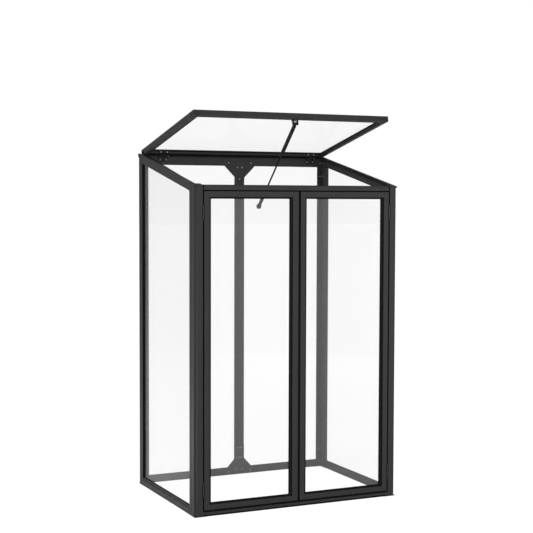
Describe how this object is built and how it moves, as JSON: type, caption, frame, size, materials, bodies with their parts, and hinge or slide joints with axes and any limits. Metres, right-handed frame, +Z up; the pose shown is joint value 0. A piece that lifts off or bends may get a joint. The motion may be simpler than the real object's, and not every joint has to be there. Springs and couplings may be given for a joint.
{
  "type": "balcony greenhouse",
  "caption": "Small free-standing greenhouse for a balcony: black aluminium frame, clear glass walls and hinged front doors, with a sloping glass roof flap held open.",
  "frame": {"origin": "middle of the footprint on the ground", "axes": "+X to the right seen from the front, +Y to the back wall, +Z up; the doors face -Y"},
  "size_m": [1.03, 0.759, 1.8129],
  "materials": {
    "anthracite_coating": "matt anthracite powder coat on extruded aluminium",
    "clear_glass": "clear toughened float glass",
    "black_rubber": "matt black sealing rubber",
    "black_plastic": "fine-grained black plastic",
    "black_steel": "satin black lacquered steel of the hinges and the stay",
    "dark_steel": "zinc-plated screws",
    "rod_steel": "darkened round bar, slightly worn"
  },
  "bodies": {
    "frame": {"front_left_post": "anthracite_coating", "front_right_post": "anthracite_coating", "rear_left_post": "anthracite_coating", "rear_right_post": "anthracite_coating", "front_sill": "anthracite_coating", "rear_sill": "anthracite_coating", "left_sill": "anthracite_coating", "right_sill": "anthracite_coating", "front_top_rail": "anthracite_coating", "rear_top_rail": "anthracite_coating", "left_raking_rail": "anthracite_coating", "right_raking_rail": "anthracite_coating", "rear_mullion": "anthracite_coating", "upper_gusset": "anthracite_coating", "lower_gusset": "anthracite_coating", "corner_brackets": "anthracite_coating", "frame_screws": "dark_steel", "left_side_pane": "clear_glass", "right_side_pane": "clear_glass", "rear_left_pane": "clear_glass", "rear_right_pane": "clear_glass", "side_pane_seals": "black_rubber", "rear_pane_seals": "black_rubber", "corner_feet": "black_plastic", "front_corner_caps": "black_plastic", "rear_corner_caps": "black_plastic", "door_buffers": "black_rubber", "door_stop_seal": "black_rubber", "flap_seat_seal": "black_rubber", "post_hinge_leaves": "black_steel", "rear_rail_hinge_leaves": "black_steel"},
    "left_door": {"left_door_outer_stile": "anthracite_coating", "left_door_meeting_stile": "anthracite_coating", "left_door_top_rail": "anthracite_coating", "left_door_bottom_rail": "anthracite_coating", "left_door_pane": "clear_glass", "left_door_seals": "black_rubber", "left_door_hinge_leaves": "black_steel", "meeting_seal": "black_rubber"},
    "right_door": {"right_door_outer_stile": "anthracite_coating", "right_door_meeting_stile": "anthracite_coating", "right_door_top_rail": "anthracite_coating", "right_door_bottom_rail": "anthracite_coating", "right_door_pane": "clear_glass", "right_door_seals": "black_rubber", "right_door_hinge_leaves": "black_steel"},
    "roof_flap": {"flap_front_rail": "anthracite_coating", "flap_rear_rail": "anthracite_coating", "flap_left_rail": "anthracite_coating", "flap_right_rail": "anthracite_coating", "flap_corner_pieces": "black_plastic", "flap_pane": "clear_glass", "flap_seals": "black_rubber", "flap_draught_strip": "black_rubber", "flap_hinge_leaves": "black_steel", "stay_top_bracket": "black_steel", "flap_screws": "dark_steel"},
    "stay_upper": {"stay_tube": "black_steel"},
    "stay_lower": {"stay_rod": "rod_steel"},
    "stay_foot": {"stay_foot_bracket": "black_steel"}
  },
  "joints": [
    {"name": "left_door_hinge", "type": "hinge", "parent": "frame", "child": "left_door", "pos_m": [-0.473, -0.3755, 0.74], "axis": [0, 0, -1], "range_deg": [0, 110]},
    {"name": "right_door_hinge", "type": "hinge", "parent": "frame", "child": "right_door", "pos_m": [0.473, -0.3755, 0.74], "axis": [0, 0, 1], "range_deg": [0, 110]},
    {"name": "flap_hinge", "type": "hinge", "parent": "frame", "child": "roof_flap", "pos_m": [0, 0.3511, 1.63097], "axis": [-1, 0, 0], "range_deg": [-25.66, 30]},
    {"name": "stay_top_pin", "type": "hinge", "parent": "roof_flap", "child": "stay_upper", "pos_m": [0.013, -0.30217, 1.76572], "axis": [-1, 0, 0], "range_deg": [-22, 30]},
    {"name": "stay_slide", "type": "slide", "parent": "stay_upper", "child": "stay_lower", "axis": [0, 0.7242, -0.6896], "range_m": [-0.125, 0]},
    {"name": "stay_foot_pin", "type": "hinge", "parent": "stay_lower", "child": "stay_foot", "pos_m": [0.013, 0.09685, 1.38574], "axis": [-1, 0, 0], "range_deg": [-60, 60]}
  ]
}
